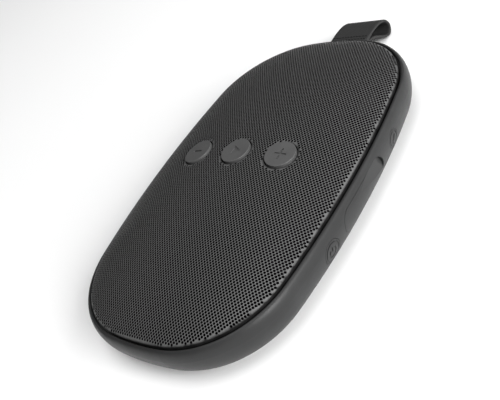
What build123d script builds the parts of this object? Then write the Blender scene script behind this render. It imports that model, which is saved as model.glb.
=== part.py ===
from build123d import *
import os
from math import asin, atan2, cos, degrees, hypot, radians, sin, sqrt

# A flat, pebble-shaped waterproof loudspeaker that lies on its back.
# Frame: +Z up through the grille, +Y towards the webbing loop, +X towards the side keys and ports.
# The origin is the centre of the flat back, on the surface that the speaker lies on. Millimetres.

# ---- driving dimensions -------------------------------------------------------------------------
HALF_WIDTH = 48.5  # casing outline, at its widest height
HALF_LENGTH = 78.0
SIDE_RADIUS = 333.0  # the outline is eight tangent arcs: two sides, two ends, four corners
END_RADIUS = 118.0
CORNER_RADIUS = 37.8

WIDEST_Z = 12.7  # height of the widest contour
RIM_Z = 16.9  # top of the rim
RIM_INSET = 2.1  # from the widest contour to the inner wall of the rim
RIM_EDGE_RADIUS = 0.35
BELLY_INSET = 10.5  # from the widest contour to the edge of the flat back

SLEEVE_WALL = 1.5  # rubber skin at the widest height
SLEEVE_FLOOR = 1.2
OVERLAP = 0.01  # pieces of one solid that meet are made to overlap by this much
SKIN_GAP = 0.05  # between the rubber skin and the tub under it
TUB_FLOOR_TOP = 2.8
TUB_WALL = 1.6
LEDGE_Z = 14.9  # ledge that carries the grille
LEDGE_INSET = 3.9
SHELF_Z = 12.0  # shelf that carries the baffle
SHELF_INSET = 6.0
SHELF_DEPTH = 1.5

GRILLE_GAP = 0.6  # open joint between rim and grille
GRILLE_WALL = 0.8
GRILLE_TOP_Z = 27.2
GRILLE_BASE_Z = 17.3  # where the dome rises from its upright skirt
DOME_FLATNESS, DOME_ROUNDNESS = 2.13, 0.72  # powers of the dome's curve, from its rim to its top
DOME_RINGS = (1, 0.985, 0.95, 0.9, 0.84, 0.77, 0.69, 0.61, 0.53, 0.45, 0.37, 0.29, 0.21, 0.13, 0.06)
CROWN_ACROSS = 165.0  # radius of the dome's crown across the width, under the keys
CLOTH_WALL = 0.25

KEY_PITCH = 19.95  # top keys, in a row across the width
KEY_Y = 1.1  # the row is this far towards the loop
KEY_RADIUS = 5.9
KEY_PROUD = 0.5  # above the grille's crown
KEY_THICK = 2.7
KEY_FLANGE_RADIUS = 6.9
KEY_FLANGE_THICK = 0.8
KEY_STEM_RADIUS = 1.8
KEY_STEM_END_Z = 19.4
KEY_TRAVEL = 0.7
KEY_HOLE_RADIUS = 6.3
DISH_RADIUS = 8.8  # the grille is dished round each key
DISH_DEPTH = 0.35
KEY_EDGE_RADIUS = 0.2
ICON_DEPTH = 0.5
ICON_STROKE = 0.9
SIDE_MARK_DEPTH = 0.25

POWER_Y, POWER_Z, POWER_RADIUS = -24.4, 8.8, 4.3  # side keys
LINK_Y, LINK_Z, LINK_RADIUS = 26.2, 9.6, 3.6
SIDE_KEY_GAP = 0.15
SIDE_TRAVEL = 0.5

COVER_HALF_LENGTH = 15.4  # port cover
COVER_Z = 9.5
COVER_RADIUS = 4.9
COVER_GAP = 0.15
COVER_FLOOR_X = 45.6
NOTCH_START_Y = -3.0  # the cover's face ramps down from here to its finger notch
NOTCH_DEPTH = 1.5

BOARD_Z = 6.6  # underside of the main board
BOARD_THICK = 1.2
USB_Y, USB_Z = 5.5, 9.45  # middle of the charging port
JACK_Y, JACK_Z = -6.5, 9.8  # axis of the audio jack
JACK_BORE_RADIUS = 1.75
JACK_NOSE_RADIUS = 2.2

STRAP_HALF_WIDTH = 9.6  # webbing loop
STRAP_THICK = 1.2
PIN_Y, PIN_Z, PIN_RADIUS = 73.8, 8.9, 1.25
PIN_FIT = 0.05

BAFFLE_Z = 12.6  # underside of the baffle
BAFFLE_TOP = 14.4
DRIVER_Y = -41.0
DRIVER_FLANGE = 45.0
RADIATOR_Y = 39.0
RADIATOR_LENGTH, RADIATOR_WIDTH = 60.0, 38.0

CORNER_SCREWS = ((38, 36), (38, -36), (22.8, 64.7), (24, -64))
SCREW_SPOTS = [(sx * x, y) for x, y in CORNER_SCREWS for sx in (1, -1)]
BOARD_SPAN_X = (12.0, 41.9)  # main board
BOARD_SPAN_Y = (-17.0, 30.0)
BOARD_POSTS = [(16, -13), (16, 26), (36, 14)]
BUTTON_BOARD_Z = 15.6
BRIDGE_Z, BRIDGE_THICK = 19.8, 1.2
BRIDGE_POSTS = [(sx * 10, sy * 6.6) for sx in (1, -1) for sy in (1, -1)]
DRIVER_SCREWS = [(sx * 17.8, DRIVER_Y + sy * 17.8) for sx in (1, -1) for sy in (1, -1)]
RADIATOR_SCREW_Y = RADIATOR_WIDTH / 2 + 0.1  # from the radiator's middle
RADIATOR_SCREWS = [(sx * 10, RADIATOR_Y + sy * RADIATOR_SCREW_Y) for sx in (1, -1) for sy in (1, -1)]
BOSS_RADIUS = 2.6
SCREW_RADIUS = 0.85
SCREW_HOLE_RADIUS = 0.9


# ---- the casing outline and what follows it -----------------------------------------------------
def outline_arcs(inset=0.0):
    """The eight arcs of the outline, each as centre x, centre y, radius, start and sweep in degrees."""
    side, end, corner = (r - inset for r in (SIDE_RADIUS, END_RADIUS, CORNER_RADIUS))
    side_x = HALF_WIDTH - SIDE_RADIUS  # centre of the right side's arc
    end_y = HALF_LENGTH - END_RADIUS  # centre of the far end's arc
    # a corner's centre is SIDE - CORNER from one and END - CORNER from the other
    reach_side, reach_end = SIDE_RADIUS - CORNER_RADIUS, END_RADIUS - CORNER_RADIUS
    apart = hypot(side_x, end_y)
    along = (reach_side**2 - reach_end**2 + apart**2) / (2 * apart)
    off = sqrt(reach_side**2 - along**2)
    ux, uy = -side_x / apart, end_y / apart
    corner_x = side_x + ux * along - uy * off
    corner_y = uy * along + ux * off
    turn_side = degrees(atan2(corner_y, corner_x - side_x))
    turn_end = degrees(atan2(corner_y - end_y, corner_x))
    arcs = [(side_x, 0, side, -turn_side, 2 * turn_side)]
    arcs.append((corner_x, corner_y, corner, turn_side, turn_end - turn_side))
    arcs.append((0, end_y, end, turn_end, 180 - 2 * turn_end))
    arcs.append((-corner_x, corner_y, corner, 180 - turn_end, turn_end - turn_side))
    return arcs + [(-cx, -cy, r, start + 180, sweep) for cx, cy, r, start, sweep in arcs]


def plate(inset, low, high):
    """A flat plate of the casing's outline, inset by that much, between two heights."""
    edges = [CenterArc((cx, cy), r, start, sweep) for cx, cy, r, start, sweep in outline_arcs(inset)]
    return Pos(0, 0, low) * extrude(make_face(Wire(edges)), high - low)


def ring(section):
    """Carries a section round the outline. Its x is minus the inset, and its y is the height."""
    sectors = []
    for cx, cy, r, start, sweep in outline_arcs():
        out = Vector(cos(radians(start)), sin(radians(start)), 0)
        at = Plane(origin=Vector(cx, cy, 0) + out * r, x_dir=out, z_dir=out.cross(Vector(0, 0, 1)))
        sectors.append(revolve(at * section, Axis((cx, cy, 0), (0, 0, 1)), sweep))
    return Part() + sectors


def band(outer, inner, low, high):
    """A plain rectangular ring between two insets and two heights."""
    return plate(outer, low, high) - plate(inner, low - 1, high + 1)


def quarter(x, z, across, up, start):
    """A quarter of an ellipse of the section, about its centre."""
    return EllipticalCenterArc((x, z), across, up, start_angle=start, arc_size=90)


def belly_face(skin, floor, top_lines):
    """A closed section: the belly's curve at this depth in from the skin, closed by the lines given."""
    belly = quarter(-BELLY_INSET, WIDEST_Z, BELLY_INSET - skin, WIDEST_Z - floor, 270)
    return make_face(Wire([belly, *top_lines]))


def chain(*points):
    return [Line(a, b) for a, b in zip(points[:-1], points[1:])]


def outer_body():
    """The whole outer form of the casing, solid, up to the rim."""
    nose_x, nose_z = RIM_EDGE_RADIUS - RIM_INSET, RIM_Z - RIM_EDGE_RADIUS
    shoulder = quarter(nose_x, WIDEST_Z, -nose_x, RIM_Z - WIDEST_Z, 0)
    nose = CenterArc((nose_x, nose_z), RIM_EDGE_RADIUS, 90, 90)
    inner = chain((-RIM_INSET, nose_z), (-BELLY_INSET, nose_z), (-BELLY_INSET, 0))
    section = belly_face(0, 0, [shoulder, nose, *inner])
    return ring(section) + plate(BELLY_INSET - OVERLAP, 0, nose_z)


def tub_body():
    """The form inside the rubber skin, solid, up to the grille's ledge."""
    skin, floor = SLEEVE_WALL, SLEEVE_FLOOR
    lines = chain((-skin, WIDEST_Z), (-skin, LEDGE_Z), (-BELLY_INSET, LEDGE_Z), (-BELLY_INSET, floor))
    return ring(belly_face(skin, floor, lines)) + plate(BELLY_INSET - OVERLAP, floor, LEDGE_Z)


def tub_cavity():
    """The room inside the tub, with the shelf for the baffle left standing."""
    skin, floor, top = SLEEVE_WALL + TUB_WALL, TUB_FLOOR_TOP, LEDGE_Z + 1
    lines = chain((-skin, WIDEST_Z), (-skin, top), (-BELLY_INSET, top), (-BELLY_INSET, floor))
    room = ring(belly_face(skin, floor, lines)) + plate(BELLY_INSET - OVERLAP, floor, top)
    room -= band(0, SHELF_INSET, SHELF_Z - SHELF_DEPTH, SHELF_Z)
    return room - band(0, LEDGE_INSET, SHELF_Z, LEDGE_Z + 2)


def stadium(half_length, radius, low_x, high_x):
    """A bar of the port cover's outline, along X."""
    face = Plane.YZ * SlotOverall(2 * half_length, 2 * radius)
    return Pos(low_x, 0, COVER_Z) * extrude(face, high_x - low_x)


def rod(radius, low_x, high_x, y, z):
    """A round bar along X."""
    return Pos(low_x, y, z) * extrude(Plane.YZ * Circle(radius), high_x - low_x)


def block(x, y, z):
    """A box from its low and high value on each axis."""
    size = [high - low for low, high in (x, y, z)]
    middle = [(high + low) / 2 for low, high in (x, y, z)]
    return Pos(*middle) * Box(*size)


def tube(outer, inner, low, high, x=0.0, y=0.0):
    """A round upright ring."""
    wall = Circle(outer) - Circle(inner) if inner else Circle(outer)
    return Pos(x, y, low) * extrude(wall, high - low)


# ---- casing -------------------------------------------------------------------------------------
def strap_pocket():
    """The flared pocket in the far end that the webbing swings in."""
    low, high, back, mouth = PIN_Z - 2.7, PIN_Z + 2.7, PIN_Y - 2.7, HALF_LENGTH + 2
    flare = 2.3
    above = [(back, high), (PIN_Y, high), (mouth, high + flare)]
    below = [(mouth, low - flare), (PIN_Y, low), (back, low)]
    face = Plane.YZ * make_face(Polyline(*above, *below, close=True))
    half = STRAP_HALF_WIDTH + 0.6
    return Pos(-half, 0, 0) * extrude(face, 2 * half)


def side_openings(skin_only):
    """What is cut through the +X wall for the keys and the port cover."""
    far = HALF_WIDTH + 5
    grow = SIDE_KEY_GAP if skin_only else SIDE_KEY_GAP + 1.0
    cuts = rod(POWER_RADIUS + grow, 40, far, POWER_Y, POWER_Z)
    cuts += rod(LINK_RADIUS + grow, 40, far, LINK_Y, LINK_Z)
    return cuts + stadium(COVER_HALF_LENGTH + COVER_GAP, COVER_RADIUS + COVER_GAP, COVER_FLOOR_X, far)


def rubber_sleeve(body):
    sleeve = body - tub_body() - plate(RIM_INSET, LEDGE_Z, RIM_Z + 1)
    return sleeve - side_openings(True) - strap_pocket()


def port_holes():
    """Openings in the tub's wall for the charging port and the jack."""
    usb = Pos(40, USB_Y, USB_Z) * extrude(Plane.YZ * RectangleRounded(9.3, 3.6, 1.6), 8)
    return usb + rod(JACK_NOSE_RADIUS + 0.1, 40, 48, JACK_Y, JACK_Z)


def inner_tub():
    gap = SKIN_GAP
    lines = chain(
        (-SLEEVE_WALL - gap, WIDEST_Z),
        (-SLEEVE_WALL - gap, LEDGE_Z),
        (-BELLY_INSET, LEDGE_Z),
        (-BELLY_INSET, SLEEVE_FLOOR + gap),
    )
    outside = ring(belly_face(SLEEVE_WALL + gap, SLEEVE_FLOOR + gap, lines))
    outside += plate(BELLY_INSET - OVERLAP, SLEEVE_FLOOR + gap, LEDGE_Z)
    tub = outside - tub_cavity()
    housing = block((-14, 14), (PIN_Y - 4.2, HALF_LENGTH), (TUB_FLOOR_TOP - 0.5, SHELF_Z))
    tub += housing & outside
    tub += block((43.2, 46), (-17, 17), (TUB_FLOOR_TOP, SHELF_Z)) & outside
    for x, y in SCREW_SPOTS:
        tub += tube(BOSS_RADIUS, 0, TUB_FLOOR_TOP - 0.5, BAFFLE_Z, x, y) & outside
        tub -= tube(SCREW_HOLE_RADIUS, 0, TUB_FLOOR_TOP + 1.5, LEDGE_Z, x, y)
    for x, y in BOARD_POSTS:
        tub += tube(2.0, 0, TUB_FLOOR_TOP - 0.5, BOARD_Z, x, y) & outside
        tub -= tube(SCREW_HOLE_RADIUS, 0, TUB_FLOOR_TOP + 0.6, LEDGE_Z, x, y)
    tub -= strap_pocket()
    tub -= rod(PIN_RADIUS, -12.6, 12.6, PIN_Y, PIN_Z)
    return tub - side_openings(False) - port_holes()


# ---- grille -------------------------------------------------------------------------------------
def dome(drop, inset, low):
    """A solid dome at this inset: level rings that shrink as they climb, over a plain skirt."""
    rise = GRILLE_TOP_Z - drop - GRILLE_BASE_Z
    rings = []
    for share in DOME_RINGS:
        edges = [
            CenterArc((cx * share, cy * share), r * share, start, sweep)
            for cx, cy, r, start, sweep in outline_arcs(inset)
        ]
        height = GRILLE_BASE_Z + rise * (1 - share**DOME_FLATNESS) ** DOME_ROUNDNESS
        rings.append(Pos(0, 0, height) * make_face(Wire(edges)))
    return loft(rings) + plate(inset, low, GRILLE_BASE_Z)


def key_frame(column):
    """The plane on the grille's crown under a top key: -1 is minus, 0 is play, 1 is plus."""
    x = column * KEY_PITCH
    lean = asin(x / CROWN_ACROSS)
    z = GRILLE_TOP_Z - CROWN_ACROSS * (1 - cos(lean))
    return Plane(origin=(x, KEY_Y, z), x_dir=(cos(lean), 0, -sin(lean)), z_dir=(sin(lean), 0, cos(lean)))


def dished(dome, drop):
    """Sinks a shallow dish round each top key, the same depth in the inner and the outer face."""
    rise = 1.5
    widen = (DISH_RADIUS - KEY_HOLE_RADIUS) / DISH_DEPTH
    for column in (-1, 0, 1):
        height = DISH_DEPTH + rise
        cone = Cone(KEY_HOLE_RADIUS, KEY_HOLE_RADIUS + widen * height, height)
        dome -= key_frame(column) * Pos(0, 0, height / 2 - DISH_DEPTH - drop) * cone
    return dome


def shell(outer_drop, wall, inset, low):
    """A domed sheet of the grille's form, open below, with the three key holes."""
    outside = dished(dome(outer_drop, inset, low), outer_drop)
    inside = dished(dome(outer_drop + wall, inset + wall, low - 1), outer_drop + wall)
    sheet = outside - inside
    for column in (-1, 0, 1):
        sheet -= key_frame(column) * Pos(0, 0, -8) * extrude(Circle(KEY_HOLE_RADIUS), 12)
    return sheet


# ---- keys ---------------------------------------------------------------------------------------
def icon(name):
    """The mark sunk into a key, as a flat face."""
    bar = RectangleRounded(4.4, ICON_STROKE, ICON_STROKE / 2 - 0.01)
    if name == "minus":
        return bar
    if name == "plus":
        long_bar = RectangleRounded(5.2, ICON_STROKE, ICON_STROKE / 2 - 0.01)
        return long_bar + Rot(0, 0, 90) * long_bar
    if name == "play":
        return make_face(Polyline((-1.3, -2.2), (-1.3, 2.2), (2.3, 0), close=True))
    if name == "power":
        gap = make_face(Polyline((0, 0), (-1.9, 3), (1.9, 3), close=True))
        return Circle(2.0) - Circle(1.45) - gap + Pos(0, 1.35) * Rectangle(0.55, 1.9)
    link = SlotOverall(2.4, 1.3) - SlotOverall(1.7, 0.6)
    return Rot(0, 0, 45) * (Pos(-0.75, 0) * link + Pos(0.75, 0) * link)


def top_key(column, name):
    """A round key: flat cap, retaining flange under the grille, and a stem down to its switch."""
    cap = Pos(0, 0, KEY_PROUD - KEY_THICK) * extrude(Circle(KEY_RADIUS), KEY_THICK)
    cap = fillet(cap.edges().group_by(Axis.Z)[-1], KEY_EDGE_RADIUS)
    cap -= Pos(0, 0, KEY_PROUD - ICON_DEPTH) * extrude(icon(name), 1)
    flange_top = KEY_PROUD - KEY_THICK
    cap += Pos(0, 0, flange_top - KEY_FLANGE_THICK) * extrude(Circle(KEY_FLANGE_RADIUS), KEY_FLANGE_THICK)
    frame = key_frame(column)
    stem_top = flange_top - KEY_FLANGE_THICK
    length = frame.origin.Z + stem_top - KEY_STEM_END_Z
    cap += Pos(0, 0, stem_top - length) * extrude(Circle(KEY_STEM_RADIUS), length)
    return frame * cap


def side_key(body, y, z, radius, name):
    """A round rubber key in the +X side, its face in line with the skin."""
    cap = rod(radius, 44.2, HALF_WIDTH + 3, y, z) & body
    groove = radius - 0.75
    ring_cut = rod(groove + 0.2, 40, 60, y, z) - rod(groove - 0.2, 39, 61, y, z)
    mark = Plane(origin=(40, y, z), x_dir=(0, 1, 0), z_dir=(1, 0, 0)) * icon(name)
    sunk = Pos(-SIDE_MARK_DEPTH, 0, 0) * (rod(radius + 1, 40, HALF_WIDTH + 3, y, z) & body)
    cap -= (ring_cut + extrude(mark, 20)) - sunk
    cap += block((43.6, 44.4), (y - radius - 0.8, y + radius + 0.8), (z - 1.8, z + 1.8))
    return cap + rod(1.5, 42.9, 43.7, y, z)


def port_cover(body):
    bar = stadium(COVER_HALF_LENGTH, COVER_RADIUS, COVER_FLOOR_X + 0.1, HALF_WIDTH + 3) & body
    run = COVER_HALF_LENGTH - NOTCH_START_Y
    sweep_radius = (run**2 + NOTCH_DEPTH**2) / (2 * NOTCH_DEPTH)
    keep = Pos(HALF_WIDTH - sweep_radius, NOTCH_START_Y, 0) * Cylinder(sweep_radius, 60)
    tail = block((0, 80), (NOTCH_START_Y, 40), (-25, 25))
    return bar - (tail - keep)


# ---- webbing loop -------------------------------------------------------------------------------
def strap_loop():
    """A band of webbing round the pin, pinched by its stitching and open beyond it like a teardrop."""
    wrap = PIN_RADIUS + PIN_FIT + STRAP_THICK
    top = [(PIN_Y + 1, PIN_Z + wrap - 0.2), (84.5, 10.9), (92.0, 10.75), (97.8, 9.8), (102.0, 7.6)]
    tip = [(103.8, 4.2), (102.9, 1.4), (100.8, 0.3), (98.2, 1.0)]
    under = [(93.2, 4.5), (89.6, 6.9), (85.6, 7.9), (PIN_Y + 1, PIN_Z - wrap + 0.2)]
    skin = Spline(*top, *tip, *under)
    back = ThreePointArc(under[-1], (PIN_Y - wrap, PIN_Z), top[0])
    hole_top = [(87.6, 9.1), (91.5, 9.5), (97.2, 8.65), (100.9, 6.8)]
    hole_tip = [(102.5, 4.3), (101.9, 2.3), (100.6, 1.6), (98.9, 2.1)]
    drop = Spline(*hole_top, *hole_tip, (94.0, 5.4), (90.4, 7.9), hole_top[0])
    throat = make_face(Polyline((PIN_Y, PIN_Z + 1.2), (84.8, 9.4), (PIN_Y, PIN_Z - 1.2), close=True))
    hole = Pos(PIN_Y, PIN_Z) * Circle(PIN_RADIUS + PIN_FIT) + throat
    face = Plane.YZ * (make_face(Wire([skin, back])) - make_face(Wire([drop])) - hole)
    return Pos(-STRAP_HALF_WIDTH, 0, 0) * extrude(face, 2 * STRAP_HALF_WIDTH)


# ---- loudspeaker driver -------------------------------------------------------------------------
def funnel(wide, narrow, low, high, wall, y):
    """A thin conical wall, wide at the top."""
    outside = Pos(0, y, (low + high) / 2) * Cone(narrow, wide, high - low)
    inside = Pos(0, y, (low + high) / 2) * Cone(narrow - wall, wide - wall, high - low + 0.001)
    return outside - inside


def half_roll(radius, wall, at_radius, z, y):
    """A rubber half roll: half a round tube, carried round the driver."""
    face = Circle(radius) - Circle(radius - wall)
    face &= Pos(0, radius) * Rectangle(4 * radius, 2 * radius)
    section = Plane(origin=(at_radius, y, z), x_dir=(1, 0, 0), z_dir=(0, -1, 0)) * face
    return revolve(section, Axis((0, y, 0), (0, 0, 1)), 360)


def driver():
    y = DRIVER_Y
    flange_top = BAFFLE_TOP + 1.5
    square = RectangleRounded(DRIVER_FLANGE, DRIVER_FLANGE, 6)
    basket = Pos(0, y, BAFFLE_TOP + 0.3) * extrude(square - Circle(20), 1.2)
    gasket = Pos(0, y, BAFFLE_TOP) * extrude(square - Circle(21.2), 0.3)
    basket += funnel(20.6, 14.5, 9.4, BAFFLE_TOP + 0.5, 1.0, y) + tube(14.5, 8.6, 9.4, 10.4, 0, y)
    for turn in range(6):
        window = Rot(0, 0, 60 * turn) * Pos(17, 0, 12.2) * Box(8, 7, 2.4)
        basket -= Pos(0, y, 0) * window
    for x, screw_y in DRIVER_SCREWS:
        basket -= tube(SCREW_HOLE_RADIUS, 0, 10, 20, x, screw_y)
        gasket -= tube(SCREW_HOLE_RADIUS, 0, 10, 20, x, screw_y)
    cone_low, cone_high = 12.2, flange_top + 0.3
    cone = funnel(16.8, 7.4, cone_low, cone_high, 0.45, y)
    cone += tube(17.6, 16.3, cone_high - 0.4, cone_high, 0, y)
    coil = tube(7.0, 6.5, 6.2, cone_low, 0, y)
    cap = Pos(0, y, 11.2) * (Sphere(7.4) - Sphere(7.0)) & block((-9, 9), (y - 9, y + 9), (13.9, 30))
    return {
        "driver_basket": basket,
        "driver_gasket": gasket,
        "driver_cone": cone,
        "driver_surround": half_roll(1.65, 0.35, 19.3, cone_high, y),
        "driver_spider": tube(13.6, 7.1, 11.3, 11.7, 0, y),
        "dust_cap": cap,
        "voice_coil": coil,
        "top_plate": tube(13.5, 7.4, 7.6, 9.3, 0, y),
        "magnet_ring": tube(15.0, 8.6, 4.6, 7.6, 0, y),
        "back_plate": tube(13.5, 0, 3.2, 4.6, 0, y) + tube(6.1, 0, 4.6, 9.3, 0, y),
    }


# ---- passive radiator ---------------------------------------------------------------------------
def oval(grow, low, high, cut=None):
    """A plate of the radiator's outline made larger by grow, with an oval of grow = cut taken out."""
    face = SlotOverall(RADIATOR_LENGTH + 2 * grow, RADIATOR_WIDTH + 2 * grow)
    if cut is not None:
        face -= SlotOverall(RADIATOR_LENGTH + 2 * cut, RADIATOR_WIDTH + 2 * cut)
    return Pos(0, RADIATOR_Y, low) * extrude(face, high - low)


def radiator():
    flange_top = BAFFLE_TOP + 1.2
    frame = oval(2, BAFFLE_TOP, flange_top, -3)
    for x, y in RADIATOR_SCREWS:
        frame -= tube(SCREW_HOLE_RADIUS, 0, 10, 20, x, y)
    foot, roof, crest = flange_top + 0.4, flange_top + 1.6, flange_top + 2.0
    roll = oval(-2.4, flange_top, foot, -3.4) + oval(-3.0, foot, roof, -3.4)
    roll += oval(-3.0, roof, crest, -6.4) + oval(-6.0, flange_top, roof, -6.4)
    return {
        "radiator_frame": frame,
        "radiator_surround": roll,
        "radiator_plate": oval(-6.5, flange_top, flange_top + 1.0),
        "radiator_weight": tube(8.0, 0, flange_top - 2.6, flange_top, 0, RADIATOR_Y),
    }


# ---- baffle, boards and battery -----------------------------------------------------------------
def front_baffle():
    baffle = plate(LEDGE_INSET + 0.2, BAFFLE_Z, BAFFLE_TOP)
    baffle -= tube(21.0, 0, 10, 20, 0, DRIVER_Y) + oval(-3.5, 10, 20)
    baffle -= block((-3, 3), (-15, -11), (10, 20))
    for x, y in SCREW_SPOTS + DRIVER_SCREWS + RADIATOR_SCREWS:
        baffle -= tube(SCREW_HOLE_RADIUS, 0, 10, 20, x, y)
    for x, y in BRIDGE_POSTS:
        baffle += tube(2.0, 0, BAFFLE_TOP, BUTTON_BOARD_Z, x, y)
        baffle -= tube(SCREW_HOLE_RADIUS, 0, 10, 20, x, y)
    return baffle


def screws(spots, head_z, length, head_radius=1.8, head=0.9):
    """Pan-head screws pointing down, one solid at each place."""
    group = []
    for x, y in spots:
        shank = tube(SCREW_RADIUS, 0, head_z - length, head_z, x, y)
        group.append(shank + tube(head_radius, 0, head_z, head_z + head, x, y))
    return Compound(children=[solid for screw in group for solid in screw.solids()])


def button_bridge():
    """The bar under the grille that guides the stems of the top keys, on four legs."""
    bridge = Pos(0, 0, BRIDGE_Z) * extrude(RectangleRounded(58, 19, 4), BRIDGE_THICK)
    for x, y in BRIDGE_POSTS:
        bridge += tube(2.2, 0, BUTTON_BOARD_Z + BOARD_THICK, BRIDGE_Z, x, y)
        bridge -= tube(SCREW_HOLE_RADIUS, 0, 10, 30, x, y)
    for column in (-1, 0, 1):
        bridge -= key_frame(column) * Pos(0, 0, -12) * extrude(Circle(KEY_STEM_RADIUS + 0.1), 12)
    return bridge


def top_switches():
    """A tact switch under each key, its plunger one key travel below the stem."""
    solids = []
    for column in (-1, 0, 1):
        foot = BUTTON_BOARD_Z + BOARD_THICK
        frame = key_frame(column)
        x = frame.origin.X - (frame.origin.Z - KEY_STEM_END_Z) * frame.z_dir.X
        case = block((x - 2.1, x + 2.1), (KEY_Y - 2.1, KEY_Y + 2.1), (foot, foot + 1.3))
        case += tube(1.0, 0, foot + 1.3, foot + 1.6, x, KEY_Y)
        solids += case.solids()
    return Compound(children=solids)


def side_electronics():
    boards, switches = [], []
    for y, z, low in ((POWER_Y, POWER_Z, 5.4), (LINK_Y, LINK_Z, BOARD_Z + BOARD_THICK)):
        boards += block((39.7, 40.9), (y - 3.6, y + 3.6), (low, 12.3)).solids()
        case = block((40.9, 41.9), (y - 2, y + 2), (z - 1.6, z + 1.6)) + rod(0.9, 41.8, 42.3, y, z)
        switches += case.solids()
    return Compound(children=boards), Compound(children=switches)


def main_electronics():
    top = BOARD_Z + BOARD_THICK
    board = block(BOARD_SPAN_X, BOARD_SPAN_Y, (BOARD_Z, top))
    for x, y in BOARD_POSTS:
        board -= tube(SCREW_HOLE_RADIUS, 0, 0, 20, x, y)
    usb = Pos(37.6, USB_Y, USB_Z) * extrude(Plane.YZ * RectangleRounded(9.0, 3.26, 1.5), 7.6)
    usb -= Pos(38.6, USB_Y, USB_Z) * extrude(Plane.YZ * RectangleRounded(8.4, 2.66, 1.2), 7)
    usb += block((38.6, 44.4), (USB_Y - 3.3, USB_Y + 3.3), (USB_Z - 0.35, USB_Z + 0.35))
    jack = block((31.5, 42.1), (JACK_Y - 3.2, JACK_Y + 3.2), (top, top + 4.2))
    jack += rod(JACK_NOSE_RADIUS, 42.0, 45.4, JACK_Y, JACK_Z)
    jack -= rod(JACK_BORE_RADIUS, 33.4, 46, JACK_Y, JACK_Z)
    caps = [tube(2.5, 0, top, top + 2.2, x, y).solids()[0] for x, y in ((17, -6), (23.5, -6), (17, 19))]
    return {
        "main_board": board,
        "usb_port": usb,
        "aux_jack": jack,
        "radio_shield": block((21, 33), (17.5, 28.5), (top, top + 1.8)),
        "amplifier_chip": block((16, 23), (2, 9), (top, top + 1.0)),
        "capacitors": Compound(children=caps),
        "battery_socket": block((13, 17), (-2.8, 0.8), (top, top + 2.4)),
    }


def battery_pack():
    cell = Pos(-14, 0, 6.4) * Box(44, 31, 6.2)
    return {
        "battery": fillet(cell.edges().filter_by(Axis.Z), 1.5),
        "battery_pad": Pos(-14, 0, TUB_FLOOR_TOP + 0.25) * Box(40, 27, 0.5),
    }


def all_parts():
    body = outer_body()
    parts = {"rubber_sleeve": rubber_sleeve(body), "inner_tub": inner_tub()}
    parts["strap_pin"] = rod(PIN_RADIUS, -12.4, 12.4, PIN_Y, PIN_Z)
    parts["strap_loop"] = strap_loop()
    parts["grille"] = shell(0, GRILLE_WALL, RIM_INSET + GRILLE_GAP, LEDGE_Z + 0.3)
    cloth_inset = RIM_INSET + GRILLE_GAP + GRILLE_WALL + 0.05
    parts["acoustic_cloth"] = shell(GRILLE_WALL + 0.05, CLOTH_WALL, cloth_inset, LEDGE_Z + 0.6)
    parts["grille_gasket"] = band(RIM_INSET + 0.3, LEDGE_INSET - 0.1, LEDGE_Z, LEDGE_Z + 0.3)
    parts["front_baffle"] = front_baffle()
    parts["baffle_gasket"] = band(LEDGE_INSET + 0.3, SHELF_INSET - 0.2, SHELF_Z, BAFFLE_Z)
    for column, name in ((-1, "minus"), (0, "play"), (1, "plus")):
        parts[name + "_button"] = top_key(column, name)
    parts["power_button"] = side_key(body, POWER_Y, POWER_Z, POWER_RADIUS, "power")
    parts["link_button"] = side_key(body, LINK_Y, LINK_Z, LINK_RADIUS, "link")
    parts["port_cover"] = port_cover(body)
    parts.update(driver())
    parts.update(radiator())
    parts.update(main_electronics())
    parts.update(battery_pack())
    parts["button_bridge"] = button_bridge()
    button_board = Pos(0, 0, BUTTON_BOARD_Z) * extrude(RectangleRounded(54, 18, 2), BOARD_THICK)
    for x, y in BRIDGE_POSTS:
        button_board -= tube(SCREW_HOLE_RADIUS, 0, 10, 30, x, y)
    parts["button_board"] = button_board
    parts["top_switches"] = top_switches()
    parts["side_switch_boards"], parts["side_switches"] = side_electronics()
    parts["baffle_screws"] = screws(SCREW_SPOTS, BAFFLE_TOP, 8)
    parts["driver_screws"] = screws(DRIVER_SCREWS, BAFFLE_TOP + 1.5, 4)
    parts["radiator_screws"] = screws(RADIATOR_SCREWS, BAFFLE_TOP + 1.2, 3.5)
    parts["bridge_screws"] = screws(BRIDGE_POSTS, BRIDGE_Z + BRIDGE_THICK, 8, 1.6, 0.7)
    parts["board_screws"] = screws(BOARD_POSTS, BOARD_Z + BOARD_THICK, 4)
    return parts


os.makedirs("parts", exist_ok=True)
for name, solid in all_parts().items():
    export_step(solid, "parts/" + name + ".step")
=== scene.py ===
import math

import bpy
import numpy as np
from mathutils import Matrix, Vector
from mathutils.geometry import delaunay_2d_cdt


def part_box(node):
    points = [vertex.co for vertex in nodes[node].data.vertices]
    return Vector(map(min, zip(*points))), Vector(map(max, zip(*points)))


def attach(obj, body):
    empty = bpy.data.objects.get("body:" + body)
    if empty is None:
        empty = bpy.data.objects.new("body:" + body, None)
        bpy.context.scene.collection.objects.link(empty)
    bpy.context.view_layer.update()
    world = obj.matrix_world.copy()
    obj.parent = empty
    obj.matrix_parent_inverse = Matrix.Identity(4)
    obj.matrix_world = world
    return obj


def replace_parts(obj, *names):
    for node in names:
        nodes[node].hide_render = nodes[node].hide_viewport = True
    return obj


# A flat, pebble-shaped waterproof loudspeaker that lies on its back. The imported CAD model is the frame,
# and this script adds what CAD leaves plain: the perforated grille, the cloth under it, the webbing
# loop with its stitching, and every material. Everything is in metres, in the CAD model's frame.

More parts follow.
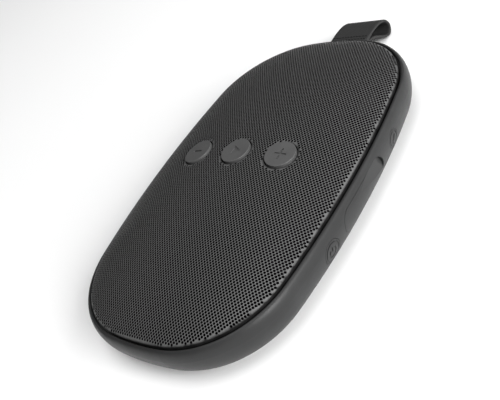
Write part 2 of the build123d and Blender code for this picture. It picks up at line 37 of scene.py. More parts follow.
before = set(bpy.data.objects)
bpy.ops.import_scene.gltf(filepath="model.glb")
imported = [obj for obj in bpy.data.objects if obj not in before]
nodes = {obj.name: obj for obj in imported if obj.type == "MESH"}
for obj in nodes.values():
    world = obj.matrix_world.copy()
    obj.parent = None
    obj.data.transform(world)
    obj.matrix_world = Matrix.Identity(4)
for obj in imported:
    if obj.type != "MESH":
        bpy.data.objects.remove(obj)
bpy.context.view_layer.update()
MM = 0.001

# ---- sizes --------------------------------------------------------------------------------------
HALF_WIDTH, HALF_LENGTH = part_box("rubber_sleeve")[1].xy  # the casing's outline, at its widest
SIDE_RADIUS = 333 * MM  # it is eight tangent arcs: two sides, two ends, four corners
END_RADIUS = 118 * MM
CORNER_RADIUS = 37.8 * MM

GRILLE_INSET = 2.7 * MM  # from the casing's outline to the grille's
GRILLE_BASE_Z = 17.3 * MM  # where the dome rises from its upright skirt
GRILLE_TOP_Z = 27.2 * MM
GRILLE_WALL = 0.6 * MM
SKIRT = 2.0 * MM
DOME_FLATNESS, DOME_ROUNDNESS = 2.13, 0.72  # powers of the dome's curve, from its edge to its top
CROWN_ACROSS = 165 * MM  # radius of the dome's crown across the width, under the keys

HOLE_PITCH = 1.23 * MM  # holes in a row, along X
ROW_PITCH = 0.833 * MM  # rows, along Y, each shifted by half a hole
HOLE_RADIUS = 0.47 * MM
HOLE_SIDES = 10
EDGE_MARGIN = 0.8 * MM  # from the dome's edge to the nearest hole's centre
GRILLE_PANELS = 4  # the sheet is built as this many meshes

KEY_PITCH = 19.95 * MM  # top keys, in a row across the width
KEY_Y = 1.1 * MM  # the row is this far towards the loop
KEY_HOLE_RADIUS = 6.3 * MM
DISH_RADIUS = 8.8 * MM
DISH_DEPTH = 0.35 * MM
CLOTH_DEPTH = 0.85 * MM  # the cloth, below the grille's outer face
CLOTH_THICK = 0.2 * MM

STRAP_HALF_WIDTH = 9.6 * MM
STRAP_THICK = 1.2 * MM
PIN_Y, PIN_Z = 73.8 * MM, 8.9 * MM
PINCH_Y = 85.6 * MM  # the stitching that closes the loop


# ---- mesh helpers -------------------------------------------------------------------------------
def mesh_object(name, points, faces, material, smooth_angle=60):
    """A mesh in the row frame, smooth except along edges sharper than the angle, in degrees."""
    mesh = bpy.data.meshes.new(name)
    mesh.from_pydata([tuple(p) for p in points], [], [tuple(f) for f in faces])
    mesh.validate()
    mesh.polygons.foreach_set("use_smooth", [True] * len(mesh.polygons))
    mesh.set_sharp_from_angle(angle=math.radians(smooth_angle))
    mesh.materials.append(material)
    mesh.update()
    obj = bpy.data.objects.new(name, mesh)
    bpy.context.scene.collection.objects.link(obj)
    return obj


def closed_sheet(top, bottom, triangles):
    """Points and faces of a closed solid: a top sheet, the same sheet lower down, and walls between them."""
    count = len(top)
    edges = np.concatenate([triangles[:, [0, 1]], triangles[:, [1, 2]], triangles[:, [2, 0]]])
    keys = np.sort(edges, axis=1)
    keys = keys[:, 0].astype(np.int64) * count + keys[:, 1]
    _, first, uses = np.unique(keys, return_index=True, return_counts=True)
    a, b = edges[first[uses == 1]].T
    walls = np.stack([b, a, a + count, b + count], axis=1)
    faces = triangles.tolist() + (triangles[:, ::-1] + count).tolist() + walls.tolist()
    return np.concatenate([top, bottom]), faces


# ---- the grille's form --------------------------------------------------------------------------
def outline_reach(angle, inset):
    """Distance from the centre to the casing's outline, moved in by inset, in these directions."""
    side_x, end_y = HALF_WIDTH - SIDE_RADIUS, HALF_LENGTH - END_RADIUS
    reach_side, reach_end = SIDE_RADIUS - CORNER_RADIUS, END_RADIUS - CORNER_RADIUS
    apart = math.hypot(side_x, end_y)
    along = (reach_side**2 - reach_end**2 + apart**2) / (2 * apart)
    off = math.sqrt(reach_side**2 - along**2)
    corner_x = side_x + (-side_x * along - end_y * off) / apart
    corner_y = (end_y * along - side_x * off) / apart
    turn_side = math.atan2(corner_y, corner_x - side_x)
    turn_end = math.atan2(corner_y - end_y, corner_x)
    across, up = np.abs(np.cos(angle)), np.abs(np.sin(angle))
    distances, joints = [], []
    for cx, cy, radius, turn in (
        (side_x, 0, SIDE_RADIUS - inset, turn_side),
        (corner_x, corner_y, CORNER_RADIUS - inset, turn_end),
        (0, end_y, END_RADIUS - inset, turn_end),
    ):
        middle = cx * across + cy * up
        distances.append(middle + np.sqrt(radius**2 - cx**2 - cy**2 + middle**2))
        joints.append(math.atan2(cy + radius * math.sin(turn), cx + radius * math.cos(turn)))
    first = np.arctan2(up, across)
    return np.where(first < joints[0], distances[0], np.where(first < joints[1], distances[1], distances[2]))


def meridians():
    """For a few reaches of the outline, the dome's plan fraction by share of its length, and that length."""
    reaches = np.linspace(outline_reach(0.0, GRILLE_INSET), HALF_LENGTH, 14)
    fraction = 1 - (1 - np.linspace(0, 1, 500)) ** 3
    height = dome_height(fraction)
    shares = np.linspace(0, 1, 500)
    tables, lengths = [], []
    for reach in reaches:
        steps = np.hypot(np.diff(fraction) * reach, np.diff(height))
        travelled = np.concatenate([[0], np.cumsum(steps)])
        lengths.append(travelled[-1])
        tables.append(np.interp(shares, travelled / travelled[-1], fraction))
    return reaches, shares, np.array(tables), np.array(lengths)


def dome_height(fraction):
    """Height of the dome at this fraction of the way from its centre to its edge."""
    rise = GRILLE_TOP_Z - GRILLE_BASE_Z
    return GRILLE_BASE_Z + rise * (1 - np.clip(fraction, 0, 1) ** DOME_FLATNESS) ** DOME_ROUNDNESS


REACHES, SHARES, FRACTIONS, LENGTHS = meridians()


def sheet_length(angle):
    """Length of the sheet from the dome's centre to its edge, in these directions."""
    return np.interp(outline_reach(angle, GRILLE_INSET), REACHES, LENGTHS)


def key_axes(column):
    """Origin and axes of the plane on the grille's crown under a top key: -1 minus, 0 play, 1 plus."""
    x = column * KEY_PITCH
    lean = math.asin(x / CROWN_ACROSS)
    origin = np.array([x, KEY_Y, GRILLE_TOP_Z - CROWN_ACROSS * (1 - math.cos(lean))])
    across = np.array([math.cos(lean), 0, -math.sin(lean)])
    out = np.array([math.sin(lean), 0, math.cos(lean)])
    return origin, across, out


def bent(flat):
    """Points of the dome's outer face, dished round the keys, for points of the flat sheet."""
    angle, travelled = np.arctan2(flat[:, 1], flat[:, 0]), np.hypot(flat[:, 0], flat[:, 1])
    reach = outline_reach(angle, GRILLE_INSET)
    length = np.interp(reach, REACHES, LENGTHS)
    share = np.clip(travelled / length, 0, 1)
    place = np.interp(reach, REACHES, np.arange(len(REACHES)))
    row = np.clip(place.astype(int), 0, len(REACHES) - 2)
    blend = place - row
    fraction = np.zeros(len(flat))
    for i in range(len(REACHES)):
        value = np.interp(share, SHARES, FRACTIONS[i])
        fraction += value * (np.where(row == i, 1 - blend, 0) + np.where(row + 1 == i, blend, 0))
    fall = np.clip(travelled - length, 0, None)
    out = reach * fraction
    points = np.stack([np.cos(angle) * out, np.sin(angle) * out, dome_height(fraction) - fall], axis=1)
    for column in (-1, 0, 1):
        origin, _, out = key_axes(column)
        local = points - origin
        distance = np.linalg.norm(local - np.outer(local @ out, out), axis=1)
        near = np.clip((DISH_RADIUS - distance) / (DISH_RADIUS - KEY_HOLE_RADIUS), 0, 1)
        points -= np.outer(DISH_DEPTH * near**1.5, out)
    return points


def below(flat, depth):
    """The same points, moved down into the sheet by depth."""
    step = 0.02 * MM
    here = bent(flat)
    along_x = bent(flat + (step, 0)) - here
    along_y = bent(flat + (0, step)) - here
    normal = np.cross(along_x, along_y)
    return here - depth * normal / np.linalg.norm(normal, axis=1)[:, None]


def flat_key_centres():
    """Where the three keys' axes meet the flat sheet."""
    axes = [key_axes(column) for column in (-1, 0, 1)]
    targets = np.array([(origin - DISH_DEPTH * out)[:2] for origin, _, out in axes])
    flat = targets.copy()
    for _ in range(12):
        flat += targets - bent(flat)[:, :2]
    return flat


# ---- perforated grille --------------------------------------------------------------------------
def lattice_sites():
    """Row and column numbers of every hole, and its place on the flat sheet."""
    rows = np.arange(-int(HALF_LENGTH * 1.1 / ROW_PITCH), int(HALF_LENGTH * 1.1 / ROW_PITCH) + 1)
    columns = np.arange(-int(HALF_WIDTH * 1.2 / HOLE_PITCH), int(HALF_WIDTH * 1.2 / HOLE_PITCH) + 1)
    row, column = (grid.ravel() for grid in np.meshgrid(rows, columns, indexing="ij"))
    sites = np.stack([(column + 0.5 * (row % 2)) * HOLE_PITCH, row * ROW_PITCH], axis=1)
    return row, column, sites


def holed(sites):
    """Which of these places of the lattice carry a hole."""
    angle = np.arctan2(sites[:, 1], sites[:, 0])
    keep = np.hypot(sites[:, 0], sites[:, 1]) < sheet_length(angle) - EDGE_MARGIN
    for centre in flat_key_centres():
        keep &= np.linalg.norm(sites - centre, axis=1) > KEY_HOLE_RADIUS + 0.72 * MM
    return keep


def cell_corners():
    """The six corners of the area that is nearer to one hole than to its neighbours."""
    half, row = HOLE_PITCH / 2, ROW_PITCH
    tip = (half**2 + row**2) / (2 * row)  # above the middle of the cell
    shoulder = row - tip
    above = [(half, shoulder), (0, tip), (-half, shoulder)]
    return np.array(above + [(-x, -y) for x, y in above])


def ring_triangles(outer, inner):
    """Triangles between two rings of points about the origin, as indices: the outer ring's come first."""
    angles = [np.unwrap(np.arctan2(ring[:, 1], ring[:, 0])) for ring in (outer, inner)]
    angles = [a - 2 * math.pi * round((a[0] - angles[0][0]) / (2 * math.pi)) for a in angles]
    m, n = len(outer), len(inner)
    i = j = 0
    found = []
    while i < m or j < n:
        next_outer = angles[0][(i + 1) % m] + 2 * math.pi * ((i + 1) // m)
        next_inner = angles[1][(j + 1) % n] + 2 * math.pi * ((j + 1) // n)
        if j >= n or (i < m and next_outer <= next_inner):
            found.append((i % m, (i + 1) % m, m + j % n))
            i += 1
        else:
            found.append((i % m, m + (j + 1) % n, m + j % n))
            j += 1
    return np.array(found)


def loop_points(reach_of, spacing):
    """Evenly turned points of a closed loop about the sheet's centre, about this far apart."""
    count = int(2 * math.pi * HALF_LENGTH * 0.85 / spacing)
    angle = np.linspace(0, 2 * math.pi, count, endpoint=False)
    reach = reach_of(angle)
    return np.stack([np.cos(angle) * reach, np.sin(angle) * reach], axis=1)


def nearest_site(points):
    """Row and column of the hole that each point is nearest to."""
    best, found = np.full(len(points), np.inf), np.zeros((len(points), 2), int)
    base = np.round(points[:, 1] / ROW_PITCH).astype(int)
    for step in (-1, 0, 1):
        row = base + step
        column = np.round(points[:, 0] / HOLE_PITCH - 0.5 * (row % 2)).astype(int)
        site = np.stack([(column + 0.5 * (row % 2)) * HOLE_PITCH, row * ROW_PITCH], axis=1)
        distance = np.linalg.norm(points - site, axis=1)
        closer = distance < best
        best = np.where(closer, distance, best)
        found[closer] = np.stack([row, column], axis=1)[closer]
    return found


def perforated_sheet():
    """The flat sheet: its points, its triangles, and the row of holes that each triangle is nearest to."""
    row, column, sites = lattice_sites()
    keep = holed(sites)
    row, column, sites = row[keep], column[keep], sites[keep]
    turns = (np.arange(HOLE_SIDES) + 0.5) * 2 * math.pi / HOLE_SIDES
    hole = HOLE_RADIUS * np.stack([np.cos(turns), np.sin(turns)], axis=1)
    corners = cell_corners()
    pattern = ring_triangles(corners, hole)

    every_corner = (sites[:, None, :] + corners[None]).reshape(-1, 2)
    rounded = np.round(every_corner / (0.001 * MM)).astype(np.int64)
    _, first, shared = np.unique(rounded, axis=0, return_index=True, return_inverse=True)
    shared = shared.reshape(len(sites), 6)
    corner_points = every_corner[first]
    hole_points = (sites[:, None, :] + hole[None]).reshape(-1, 2)
    hole_index = len(corner_points) + np.arange(len(hole_points)).reshape(len(sites), HOLE_SIDES)
    table = np.concatenate([shared, hole_index], axis=1)
    cells = table[:, pattern].reshape(-1, 3)
    cell_rows = np.repeat(row, len(pattern))

    # the plain strips along the dome's edge and round the keys join the cells' ragged border
    pairs = np.sort(np.stack([shared, np.roll(shared, -1, axis=1)], axis=2).reshape(-1, 2), axis=1)
    unique_pairs, uses = np.unique(pairs, axis=0, return_counts=True)
    border = unique_pairs[uses == 1]
    border_corners, border_edges = np.unique(border, return_inverse=True)
    outer_loops = [
        loop_points(lambda a, add=add: sheet_length(a) + add, 0.5 * MM)
        for add in (SKIRT, 0.5 * SKIRT, 0.12 * MM, 0.0)
    ]
    circle = np.linspace(0, 2 * math.pi, 96, endpoint=False)
    key_loop = KEY_HOLE_RADIUS * np.stack([np.cos(circle), np.sin(circle)], axis=1)
    loops = outer_loops + [centre + key_loop for centre in flat_key_centres()]
    strip = [corner_points[border_corners]]
    edges = border_edges.reshape(-1, 2).tolist()
    start = len(border_corners)
    for loop in loops:
        strip.append(loop)
        edges += [(start + i, start + (i + 1) % len(loop)) for i in range(len(loop))]
        start += len(loop)
    strip = np.concatenate(strip)
    scaled = [Vector(p / MM) for p in strip]
    points, _, triangles, *_ = delaunay_2d_cdt(scaled, edges, [], 0, 1e-5)
    assert len(points) == len(strip), "the strips' loops cross each other"
    triangles = np.array(triangles)
    middle = strip[triangles].mean(axis=1)
    angle = np.arctan2(middle[:, 1], middle[:, 0])
    inside = np.hypot(middle[:, 0], middle[:, 1]) < sheet_length(angle) + SKIRT
    for centre in flat_key_centres():
        inside &= np.linalg.norm(middle - centre, axis=1) > KEY_HOLE_RADIUS * 0.999
    holes = set(zip(row.tolist(), column.tolist()))
    near = nearest_site(middle)
    plain = np.array([tuple(site) not in holes for site in near.tolist()])
    triangles, near = triangles[inside & plain], near[inside & plain]

    first_new = len(corner_points) + len(hole_points)
    index = np.concatenate([border_corners, first_new + np.arange(len(strip) - len(border_corners))])
    every_point = np.concatenate([corner_points, hole_points, strip[len(border_corners):]])
    every_triangle = np.concatenate([cells, index[triangles]])
    a, b, c = (every_point[every_triangle[:, i]] for i in range(3))
    turn = (b - a)[:, 0] * (c - a)[:, 1] - (b - a)[:, 1] * (c - a)[:, 0]
    every_triangle[turn < 0] = every_triangle[turn < 0][:, ::-1]
    return every_point, every_triangle, np.concatenate([cell_rows, near[:, 0]])


def perforated_grille(material):
    """The grille as a closed perforated steel sheet, in a few panels from the near end to the far end."""
    flat, triangles, rows = perforated_sheet()
    cuts = np.quantile(rows, np.linspace(0, 1, GRILLE_PANELS + 1)[1:-1])
    panel_of = np.searchsorted(cuts, rows, side="left")
    for panel in range(GRILLE_PANELS):
        used, local = np.unique(triangles[panel_of == panel], return_inverse=True)
        top = bent(flat[used])
        points, faces = closed_sheet(top, below(flat[used], GRILLE_WALL), local.reshape(-1, 3))
        obj = mesh_object(f"grille_panel_{panel + 1}", points, faces, material)
        # painted shade for grille_paint: 0 on the outer face and 1 on the underside, so the hole walls
        # darken downwards
        shade = obj.data.attributes.new("depth", "FLOAT", "POINT")
        past_edge = np.hypot(*flat[used].T) - sheet_length(np.arctan2(flat[used][:, 1], flat[used][:, 0]))
        # painted shade in the gap at the dome's edge: the outer face darkens from 0.7 mm inside the edge and
        # is black from 0.35 mm inside it out over the skirt
        painted_rim_shade = 0.15 * np.clip(2 + past_edge / (0.35 * MM), 0, 1)
        # painted shade in the gap round each key: a dark band about 0.7 mm wide next to the key's hole
        for centre in flat_key_centres():
            past_key = KEY_HOLE_RADIUS - np.linalg.norm(flat[used] - centre, axis=1)
            painted_rim_shade = np.maximum(painted_rim_shade, 0.13 * np.clip(2 + past_key / (0.35 * MM), 0, 1))
        shade.data.foreach_set("value", np.concatenate([painted_rim_shade, np.ones(len(used))]).astype(np.float32))
        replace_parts(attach(obj, "housing"), "grille")


# ---- acoustic cloth -----------------------------------------------------------------------------
def acoustic_cloth(material):
    """Fine black cloth stretched against the inside of the grille, dished with it round the keys."""
    turns, rings = 200, 90
    angle = np.linspace(0, 2 * math.pi, turns, endpoint=False)
    reach = sheet_length(angle) - 0.4 * MM
    edge = np.stack([np.cos(angle) * reach, np.sin(angle) * reach], axis=1)
    flat = np.concatenate([edge * share for share in np.linspace(1, 0.012, rings)])
    quads = []
    for ring in range(rings - 1):
        for turn in range(turns):
            a, b = ring * turns + turn, ring * turns + (turn + 1) % turns
            quads += [(a, b, b + turns), (a, b + turns, a + turns)]
    quads = np.array(quads)
    centres = flat_key_centres()
    middle = flat[quads].mean(axis=1)
    clear = KEY_HOLE_RADIUS - 0.2 * MM
    keep = np.all([np.linalg.norm(middle - centre, axis=1) > clear for centre in centres], axis=0)
    used, local = np.unique(quads[keep], return_inverse=True)
    top, bottom = below(flat[used], CLOTH_DEPTH), below(flat[used], CLOTH_DEPTH + CLOTH_THICK)
    points, faces = closed_sheet(top, bottom, local.reshape(-1, 3))
    obj = mesh_object("acoustic_cloth_sheet", points, faces, material)
    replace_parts(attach(obj, "housing"), "acoustic_cloth")
    a, b, c = (np.append(flat[quads[keep][:, i]], np.zeros((keep.sum(), 1)), axis=1) for i in range(3))


# ---- webbing loop -------------------------------------------------------------------------------
def smooth_closed(points, samples):
    """A smooth closed line through these points, by their chord lengths, evenly spaced."""
    points = np.array(points, float)
    before, after, later = (np.roll(points, step, axis=0) for step in (1, -1, -2))
    line = []
    for p0, p1, p2, p3 in zip(before, points, after, later):
        t1 = np.linalg.norm(p1 - p0) ** 0.5
        t2 = t1 + np.linalg.norm(p2 - p1) ** 0.5
        t3 = t2 + np.linalg.norm(p3 - p2) ** 0.5
        t = np.linspace(t1, t2, 60, endpoint=False)[:, None]
        a1 = p0 + (p1 - p0) * t / t1
        a2 = p1 + (p2 - p1) * (t - t1) / (t2 - t1)
        a3 = p2 + (p3 - p2) * (t - t2) / (t3 - t2)
        b1, b2 = a1 + (a2 - a1) * t / t2, a2 + (a3 - a2) * (t - t1) / (t3 - t1)
        line.append(b1 + (b2 - b1) * (t - t1) / (t2 - t1))
    line = np.concatenate(line)
    closed = np.concatenate([line, line[:1]])
    travelled = np.concatenate([[0], np.cumsum(np.linalg.norm(np.diff(closed, axis=0), axis=1))])
    even = np.linspace(0, travelled[-1], samples, endpoint=False)
    return np.stack([np.interp(even, travelled, closed[:, i]) for i in (0, 1)], axis=1), travelled[-1]


def strap_outline():
    """The loop's outer skin, seen from the side, as y and z: round the pin, out, round the tip and back."""
    wrap = 2.5 * MM
    around = [
        (PIN_Y + wrap * math.cos(math.radians(turn)), PIN_Z + wrap * math.sin(math.radians(turn)))
        for turn in (290, 245, 205, 155, 115, 70)
    ]
    top = [(84.5, 10.9), (92.0, 10.75), (97.8, 9.8), (102.0, 7.6)]
    tip = [(103.8, 4.2), (102.9, 1.4), (100.8, 0.3), (98.2, 1.0)]
    under = [(93.2, 4.5), (89.6, 6.9), (85.6, 7.9)]
    return around + [(y * MM, z * MM) for y, z in top + tip + under]


WARP_PITCH, WEFT_PITCH = 0.8 * MM, 0.62 * MM


def weave_height(x, along):
    """Relief of the webbing's ribs, from 0 to 1: each rib rises and dips, out of step with the next."""
    rib = np.round(x / WARP_PITCH)
    across = np.cos(math.pi * (x / WARP_PITCH - rib)) ** 2
    waves = 0.5 + 0.5 * np.cos(2 * math.pi * (along / WEFT_PITCH + 0.5 * (rib % 2)))
    return across * (0.45 + 0.55 * waves)


def strap(material, thread):
    """One band of webbing round the pin, sewn together at the pinch and open beyond it like a teardrop."""
    samples = 400
    skin, length = smooth_closed(strap_outline(), samples)
    along = np.arange(samples) * length / samples
    tangent = np.roll(skin, -1, axis=0) - np.roll(skin, 1, axis=0)
    tangent /= np.linalg.norm(tangent, axis=1)[:, None]
    inward = np.stack([tangent[:, 1], -tangent[:, 0]], axis=1)
    pinch = np.exp(-(((skin[:, 0] - PINCH_Y) / (2.4 * MM)) ** 2))
    thick = STRAP_THICK + 0.27 * MM * pinch
    edge = STRAP_THICK / 2
    flat_x = np.linspace(-STRAP_HALF_WIDTH + edge, STRAP_HALF_WIDTH - edge, 94)
    turn = np.linspace(-math.pi / 2, math.pi / 2, 7)[1:-1]
    section = [(x, -1.0) for x in flat_x]  # place across the width, and depth from -1, outer, to 1, inner
    section += [(flat_x[-1] + edge * math.cos(t), math.sin(t)) for t in turn]
    section += [(x, 1.0) for x in flat_x[::-1]]
    section += [(flat_x[0] - edge * math.cos(t), math.sin(t)) for t in turn[::-1]]
    section = np.array(section)
    relief_depth = 0.09 * MM
    points = []
    for i in range(samples):
        x, level = section.T
        ridge = 0.6 * np.exp(-(((np.abs(x) - 8.7 * MM) / (0.45 * MM)) ** 2))
        relief = relief_depth * (1 - np.maximum(weave_height(x, along[i]), ridge)) * np.abs(level) ** 3
        depth = thick[i] / 2 * (1 + level) - np.sign(level) * relief
        y, z = (skin[i, axis] + inward[i, axis] * depth for axis in (0, 1))
        points.append(np.stack([x, y, z], axis=1))
    across = len(section)
    faces = []
    for i in range(samples):
        for j in range(across):
            a, b = i * across + j, i * across + (j + 1) % across
            c, d = ((i + 1) % samples) * across + (j + 1) % across, ((i + 1) % samples) * across + j
            faces.append((a, b, c, d))
    obj = mesh_object("webbing_loop", np.concatenate(points), faces, material)
    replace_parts(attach(obj, "loop"), "strap_loop")
    stitching(skin, inward, thread)


def stitching(skin, inward, thread):
    """Two rows of lock stitches across the pinch, on both faces of the loop."""
    radius, span, count = 0.17 * MM, 1.25 * MM, 12
    points, faces = [], []
    sides = 8
    for row_y in (PINCH_Y - 0.9 * MM, PINCH_Y + 1.1 * MM):
        crossings = [i for i in range(len(skin)) if (skin[i, 0] - row_y) * (skin[i - 1, 0] - row_y) < 0]
        for i in crossings:
            base, out = skin[i], -inward[i]
            for k in range(count):
                middle = (k - (count - 1) / 2) * 1.45 * MM
                start = len(points)
                for step in np.linspace(-1, 1, 9):
                    lift = radius * (1.1 - 2.6 * abs(step) ** 3)
                    taper = radius * math.sqrt(max(1 - step**2, 0.0)) ** 0.5
                    for turn in range(sides):
                        angle = 2 * math.pi * turn / sides
                        side, up = taper * math.cos(angle), lift + taper * math.sin(angle)
                        y = base[0] + out[0] * up + out[1] * side
                        z = base[1] + out[1] * up - out[0] * side
                        points.append((middle + step * span / 2, y, z))
                for ring in range(8):
                    for turn in range(sides):
                        a, b = start + ring * sides + turn, start + ring * sides + (turn + 1) % sides
                        faces.append((a, b, b + sides, a + sides))
                faces.append(tuple(start + turn for turn in reversed(range(sides))))
                faces.append(tuple(start + 8 * sides + turn for turn in range(sides)))
    obj = mesh_object("loop_stitching", points, faces, thread)
    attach(obj, "loop")


# ---- materials ----------------------------------------------------------------------------------
class Finish:
    """A material on one Principled shader, with helpers for the patterns that drive it."""

    def __init__(self, name, roughness, metallic=0.0, **constants):
        self.material = bpy.data.materials.new(name)
        self.material.use_nodes = True
        self.tree = self.material.node_tree
        self.shader = self.tree.nodes["Principled BSDF"]
        self.shader.inputs["Roughness"].default_value = roughness
        self.shader.inputs["Metallic"].default_value = metallic
        for socket, value in constants.items():
            self.shader.inputs[socket.replace("_", " ")].default_value = value
        self.place = self.tree.nodes.new("ShaderNodeTexCoord").outputs["Object"]
        self.normal = None

    def node(self, kind, **values):
        made = self.tree.nodes.new(kind)
        for key, value in values.items():
            if hasattr(made, key):
                setattr(made, key, value)
            else:
                socket = made.inputs[key]
                if isinstance(value, bpy.types.NodeSocket):
                    self.tree.links.new(value, socket)
                else:
                    socket.default_value = value
        return made

    def math(self, operation, a, b=0.0):
        made = self.node("ShaderNodeMath", operation=operation)
        for socket, value in zip(made.inputs, (a, b)):
            if isinstance(value, bpy.types.NodeSocket):
                self.tree.links.new(value, socket)
            else:
                socket.default_value = value
        return made.outputs[0]

    def stretched(self, x=1.0, y=1.0, z=1.0, turn=(0.0, 0.0, 0.0)):
        mapping = self.node("ShaderNodeMapping", Vector=self.place, Scale=(x, y, z), Rotation=turn)
        return mapping.outputs[0]

    def noise(self, size, detail=3.0, place=None):
        made = self.node("ShaderNodeTexNoise", Vector=place or self.place, Scale=1 / size, Detail=detail)
        return made.outputs["Fac"]

    def cells(self, size, feature="F1", place=None):
        made = self.node("ShaderNodeTexVoronoi", feature=feature)
        self.tree.links.new(place or self.place, made.inputs["Vector"])
        made.inputs["Scale"].default_value = 1 / size
        return made.outputs["Distance"]

    def wave(self, pitch, direction, distortion=0.0, place=None):
        made = self.node("ShaderNodeTexWave", wave_type="BANDS", bands_direction=direction)
        self.tree.links.new(place or self.place, made.inputs["Vector"])
        made.inputs["Scale"].default_value = 2 * math.pi / (20 * pitch)
        made.inputs["Distortion"].default_value = distortion
        return made.outputs["Fac"]

    def ramp(self, value, low, high):
        made = self.node("ShaderNodeMapRange")
        self.tree.links.new(value, made.inputs["Value"])
        made.inputs["To Min"].default_value = low
        made.inputs["To Max"].default_value = high
        return made.outputs[0]

    def colour(self, value, dark, light):
        """The base colour, from dark to light as value goes from 0.3 to 0.7."""
        made = self.node("ShaderNodeValToRGB")
        self.tree.links.new(value, made.inputs[0])
        for stop, position, shade in zip(made.color_ramp.elements, (0.3, 0.7), (dark, light)):
            stop.position = position
            stop.color = (*shade, 1)
        self.tree.links.new(made.outputs[0], self.shader.inputs["Base Color"])
        return made.outputs[0]

    def gloss(self, value, low, high):
        self.tree.links.new(self.ramp(value, low, high), self.shader.inputs["Roughness"])

    def bump(self, height, depth, strength=1.0):
        """Relief of this depth in metres, on top of any relief given before."""
        made = self.node("ShaderNodeBump", Height=height, Distance=depth, Strength=strength)
        if self.normal is not None:
            self.tree.links.new(self.normal, made.inputs["Normal"])
        self.normal = made.outputs[0]
        self.tree.links.new(self.normal, self.shader.inputs["Normal"])


def grey(value, tint=0.0):
    """A near-neutral colour; a positive tint is cooler."""
    return (value * (1 - tint), value, value * (1 + tint))


def rubber_skin():
    """Soft-touch rubber: matt, very fine grain, faint mottling."""
    m = Finish("rubber_skin", 0.42, Specular_IOR_Level=0.25)
    m.colour(m.noise(9 * MM), grey(0.021, 0.01), grey(0.025, 0.01))
    m.gloss(m.noise(2.2 * MM), 0.38, 0.46)
    m.bump(m.noise(0.16 * MM, 2.0), 0.012 * MM)
    m.bump(m.cells(0.35 * MM), 0.004 * MM)
    return m.material


def moulded(name, shade, roughness, grain=0.3 * MM):
    """Moulded plastic with a spark-eroded grain."""
    m = Finish(name, roughness)
    m.colour(m.noise(6 * MM), tuple(0.92 * c for c in shade), tuple(1.08 * c for c in shade))
    m.gloss(m.noise(1.5 * MM), roughness - 0.06, roughness + 0.06)
    m.bump(m.noise(grain, 2.0), 0.02 * MM)
    return m.material


def grille_paint():
    """Satin powder coat on perforated steel with a faint orange peel, and painted shade: the hole walls
    darken to black without reflection, and the outer face darkens at the dome's edge and round the keys.
    """
    m = Finish("grille_paint", 0.42, Specular_IOR_Level=0.4)
    # painted shade: the depth attribute takes the reflection off the hole walls and darkens them to black
    # towards the underside
    depth = m.node("ShaderNodeAttribute", attribute_name="depth").outputs["Fac"]
    m.tree.links.new(m.ramp(m.math("MULTIPLY", depth, 6.0), 0.4, 0.0), m.shader.inputs["Specular IOR Level"])
    # the outer face is light; a depth value of 0.15 or more turns it black, as painted shade
    outer = m.math("SUBTRACT", 0.75, m.math("MULTIPLY", depth, 3.0))
    m.colour(m.math("ADD", outer, m.math("MULTIPLY", m.noise(4 * MM), 0.1)), grey(0.001), grey(0.085))
    m.gloss(m.noise(0.8 * MM), 0.38, 0.5)
    m.bump(m.noise(0.22 * MM, 2.0), 0.01 * MM)
    return m.material


def woven(name, shade, warp, weft, depth, roughness=0.9):
    """Cloth with its threads along X and Y."""
    m = Finish(name, roughness, Specular_IOR_Level=0.05)
    threads = m.math("MULTIPLY", m.wave(warp, "X"), m.wave(weft, "Y"))
    fibre = m.noise(0.1 * MM, 4.0)
    m.colour(m.math("ADD", m.math("MULTIPLY", threads, 0.5), m.math("MULTIPLY", fibre, 0.5)),
             tuple(0.6 * c for c in shade), tuple(1.25 * c for c in shade))
    m.bump(threads, depth)
    m.bump(fibre, 0.3 * depth)
    return m.material


def webbing(name="webbing", shade=0.028):
    """Polyester webbing: filament shine along the ribs and fuzz between them."""
    m = Finish(name, 0.75, Specular_IOR_Level=0.25)
    twill = m.wave(0.34 * MM, "DIAGONAL", 0.4)
    fibre = m.noise(0.12 * MM, 4.0, m.stretched(1.0, 0.25, 0.25))
    mixed = m.math("ADD", m.math("MULTIPLY", twill, 0.45), m.math("MULTIPLY", fibre, 0.55))
    m.colour(mixed, grey(0.62 * shade), grey(1.3 * shade))
    m.gloss(fibre, 0.62, 0.88)
    m.bump(twill, 0.05 * MM)
    m.bump(fibre, 0.03 * MM)
    return m.material


def metal(name, shade, roughness, line=0.08 * MM):
    """Plated metal with fine turning or rolling lines."""
    m = Finish(name, roughness, metallic=1.0)
    lines = m.noise(line, 2.0, m.stretched(1.0, 0.06, 1.0))
    m.colour(lines, tuple(0.85 * c for c in shade), shade)
    m.gloss(lines, roughness - 0.08, roughness + 0.08)
    m.bump(lines, 0.004 * MM)
    return m.material


def foam():
    m = Finish("foam", 0.95)
    bubbles = m.cells(0.3 * MM)
    m.colour(bubbles, grey(0.012), grey(0.03))
    m.bump(bubbles, 0.12 * MM)
    return m.material


def paper_cone():
    m = Finish("cone", 0.7)
    fibres = m.noise(0.5 * MM, 6.0)
    m.colour(fibres, grey(0.03), grey(0.055))
    m.bump(fibres, 0.03 * MM)
    return m.material


def copper_winding():
    m = Finish("copper", 0.3, metallic=1.0)
    turns = m.wave(0.16 * MM, "Z")
    m.colour(turns, (0.42, 0.16, 0.07), (0.72, 0.35, 0.18))
    m.bump(turns, 0.05 * MM)
    return m.material


def circuit_board():
    m = Finish("board_green", 0.35, Coat_Weight=0.4)
    tracks = m.cells(2.4 * MM, "DISTANCE_TO_EDGE")
    lines = m.math("GREATER_THAN", tracks, 0.09)
    m.colour(lines, (0.02, 0.09, 0.04), (0.012, 0.05, 0.022))
    m.bump(lines, 0.03 * MM)
    return m.material


def battery_wrap():
    m = Finish("battery_wrap", 0.3, metallic=1.0)
    folds = m.noise(3 * MM, 2.0, m.stretched(1.0, 0.3, 1.0))
    m.colour(folds, (0.5, 0.52, 0.55), (0.6, 0.62, 0.65))
    m.bump(folds, 0.05 * MM)
    return m.material


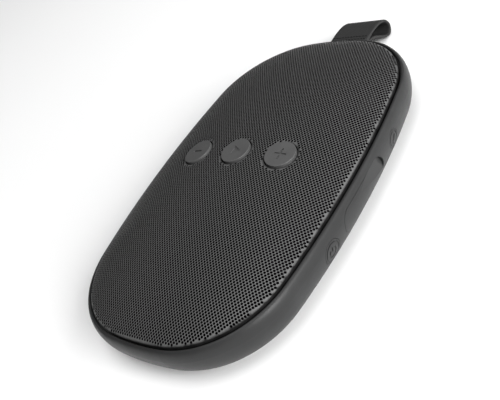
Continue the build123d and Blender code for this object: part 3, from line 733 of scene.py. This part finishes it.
MADE = {
    "rubber_skin": rubber_skin(),
    "black_plastic": moulded("black_plastic", grey(0.022), 0.5),
    "grille_paint": grille_paint(),
    "black_cloth": woven("black_cloth", grey(0.002), 0.22 * MM, 0.22 * MM, 0.04 * MM),
    "key_grey": moulded("key_grey", grey(0.068), 0.55, 0.12 * MM),
    "webbing": webbing(),
    "steel": metal("steel", (0.6, 0.6, 0.62), 0.32),
    "foam": foam(),
    "cone": paper_cone(),
    "soft_rubber": moulded("soft_rubber", grey(0.016), 0.6, 0.2 * MM),
    "spider_cloth": woven("spider_cloth", (0.5, 0.34, 0.15), 0.5 * MM, 0.5 * MM, 0.1 * MM),
    "copper": copper_winding(),
    "magnet": metal("magnet", (0.2, 0.2, 0.21), 0.4),
    "board_green": circuit_board(),
    "chip_black": moulded("chip_black", grey(0.02), 0.42, 0.1 * MM),
    "battery_wrap": battery_wrap(),
}

for node in nodes.values():
    for i, old in enumerate(node.data.materials):
        node.data.materials[i] = MADE[old.name.split(".")[0]]

perforated_grille(MADE["grille_paint"])
acoustic_cloth(MADE["black_cloth"])
strap(MADE["webbing"], webbing("thread", 0.015))


# ---- floor, light and camera --------------------------------------------------------------------
def floor():
    half = 3.0
    corners = [(-half, -half, 0), (half, -half, 0), (half, half, 0), (-half, half, 0)]
    m = Finish("floor_paper", 0.9)
    m.colour(m.noise(0.4), grey(0.93), grey(0.95))
    obj = mesh_object("floor", corners, [(0, 1, 2, 3)], m.material)


def softbox(name, direction, distance, size, energy):
    """A square soft light at that direction and distance from the middle of the speaker."""
    data = bpy.data.lights.new(name, "AREA")
    data.shape = "SQUARE"
    data.size = size
    data.energy = energy
    lamp = bpy.data.objects.new(name, data)
    towards = Vector(direction).normalized()
    lamp.location = Vector((0, 0, GRILLE_BASE_Z)) + towards * distance
    lamp.rotation_mode = "QUATERNION"
    lamp.rotation_quaternion = (-towards).to_track_quat("-Z", "Y")
    bpy.context.scene.collection.objects.link(lamp)


def photograph_camera():
    """Azimuth 54 and elevation 36 degrees, rolled so that the speaker stands on its near right corner."""
    azimuth, elevation, roll = (math.radians(turn) for turn in (54.0, 36.0, -34.0))
    level = math.cos(elevation)
    back = Vector((math.sin(azimuth) * level, -math.cos(azimuth) * level, math.sin(elevation)))
    right = (-back).cross(Vector((0, 0, 1))).normalized()
    up = right.cross(-back)
    aim = Vector((0, 0, 12.7 * MM)) - right * 4.8 * MM - up * 5.5 * MM
    data = bpy.data.cameras.new("camera")
    data.sensor_width = 36
    data.lens = 52.6
    data.clip_start, data.clip_end = 0.01, 20
    camera = bpy.data.objects.new("camera", data)
    rolled_right = right * math.cos(roll) + up * math.sin(roll)
    rolled_up = up * math.cos(roll) - right * math.sin(roll)
    turned = Matrix((rolled_right, rolled_up, back)).transposed().to_4x4()
    camera.matrix_world = Matrix.Translation(aim + back * 272.5 * MM) @ turned
    bpy.context.scene.collection.objects.link(camera)
    bpy.context.scene.camera = camera


floor()
softbox("right_light", (0.9, -0.15, 0.38), 1.6, 1.0, 40)
softbox("far_right_light", (0.6, 0.6, 0.4), 1.6, 1.0, 7)
softbox("top_light", (0.08, -0.06, 0.99), 1.6, 1.1, 16)
photograph_camera()
world = bpy.data.worlds.new("studio")
world.use_nodes = True
world.node_tree.nodes["Background"].inputs["Color"].default_value = (1, 1, 1, 1)
world.node_tree.nodes["Background"].inputs["Strength"].default_value = 0.07
bpy.context.scene.world = world
bpy.context.scene.view_settings.view_transform = "Standard"
